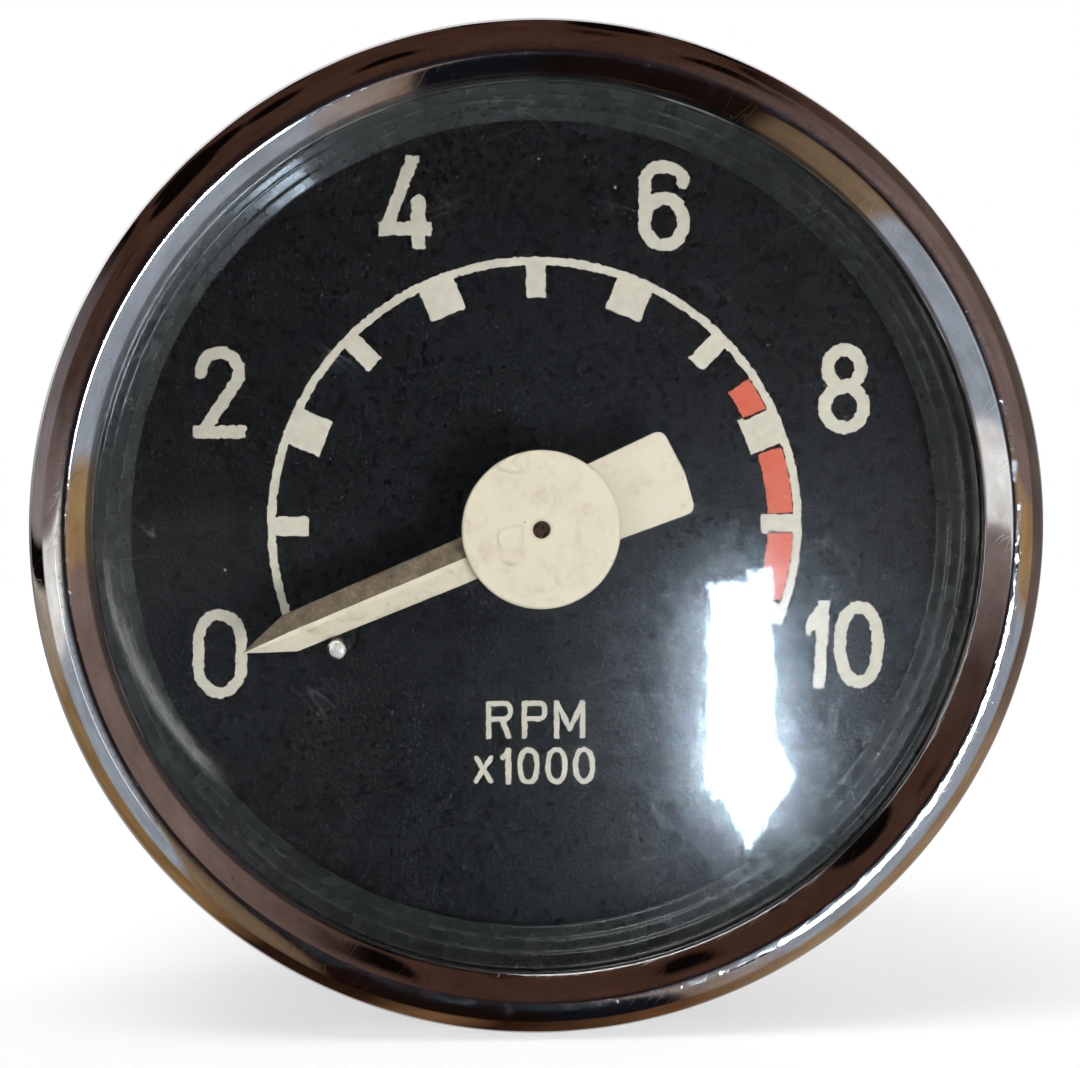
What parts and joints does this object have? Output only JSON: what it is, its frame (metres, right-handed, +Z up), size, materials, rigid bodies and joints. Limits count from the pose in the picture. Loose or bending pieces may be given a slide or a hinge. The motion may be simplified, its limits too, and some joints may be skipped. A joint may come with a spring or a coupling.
{
  "type": "motorcycle tachometer",
  "caption": "Round motorcycle rev counter with chrome bezel, domed glass, black dial, cream pointer and a magnetic drag-cup movement driven by cable.",
  "frame": {"origin": "centre of the case back's outer face, midway between the two mounting studs, on the instrument's axis", "axes": "+Z up through the top of the dial, +X to the right of a reader, the dial faces -Y and the studs and drive spigot point along +Y"},
  "size_m": [0.086, 0.0715, 0.086],
  "materials": {
    "case_paint": "satin black stove enamel over drawn steel",
    "bezel_chrome": "bright chrome plating with small pits and fine wiping scratches",
    "lens_glass": "clear domed glass with fine scratches",
    "ring_black": "greenish black enamel, half gloss",
    "dial_black": "fine-grained black dial paint",
    "ink_cream": "cream screen print with slightly ragged edges",
    "ink_red": "orange-red screen print",
    "pointer_cream": "cream enamel over sheet aluminium, glossy, lightly chipped",
    "spindle_steel": "blued and browned steel",
    "pin_steel": "plain turned steel",
    "stud_steel": "zinc-plated steel",
    "shaft_steel": "ground steel",
    "iron_cup": "soft iron, plated",
    "magnet_iron": "sintered magnet",
    "frame_zinc": "die-cast alloy, as cast with turned faces",
    "bearing_bronze": "sintered bronze",
    "brass": "turned and stamped brass",
    "cup_aluminium": "spun aluminium",
    "spring_blue": "blued spring ribbon",
    "felt": "oiled felt",
    "gasket_rubber": "black rubber",
    "holder_plated": "plated tube",
    "insulator_board": "resin board",
    "bulb_glass": "clear thin glass",
    "filament_wire": "drawn wire"
  },
  "bodies": {
    "case": {"case": "case_paint", "mounting_studs": "stud_steel", "movement_frame": "frame_zinc", "frame_screws": "stud_steel", "frame_washers": "stud_steel", "rear_bush": "bearing_bronze", "oil_felt": "felt", "front_bush": "bearing_bronze", "thrust_washer": "bearing_bronze", "frame_pillars": "shaft_steel", "bridge_plate": "brass", "pillar_screws": "shaft_steel", "upper_bearing": "brass", "regulator": "brass", "stop_pin": "pin_steel", "dial_posts": "brass", "dial_screws": "shaft_steel", "dial": "dial_black", "scale_print": "ink_cream", "red_zone_print": "ink_red", "trim_ring": "ring_black", "lens_gasket": "gasket_rubber", "lens": "lens_glass", "bezel": "bezel_chrome", "lamp_grommet": "gasket_rubber"},
    "rotor": {"drive_shaft": "shaft_steel", "shaft_clip": "shaft_steel", "field_cup": "iron_cup", "magnet": "magnet_iron", "pivot_bearing": "brass"},
    "pointer": {"spindle": "spindle_steel", "drag_cup": "cup_aluminium", "cup_collet": "brass", "spring_collet": "brass", "hairspring": "spring_blue", "pointer_bush": "brass", "pointer_blade": "pointer_cream", "pointer_cap": "pointer_cream"},
    "lamp": {"lamp_holder": "holder_plated", "lamp_insulator": "insulator_board", "lamp_feed_terminal": "brass", "lamp_earth_terminal": "holder_plated", "bulb_base": "brass", "bulb_glass": "bulb_glass", "bulb_filament": "filament_wire"}
  },
  "joints": [
    {"name": "pointer_swing", "type": "hinge", "parent": "case", "child": "pointer", "pos_m": [0, 0, 0], "axis": [0, 1, 0], "range_deg": [0, 225], "stiffness_Nm_per_rad": 0.00025, "springref_deg": -29.79, "deforming": ["hairspring"]},
    {"name": "rotor_spin", "type": "hinge", "parent": "case", "child": "rotor", "pos_m": [0, 0, 0], "axis": [0, 1, 0], "continuous": true},
    {"name": "lamp_pull", "type": "slide", "parent": "case", "child": "lamp", "axis": [0, 1, 0], "range_m": [0, 0.028]}
  ]
}
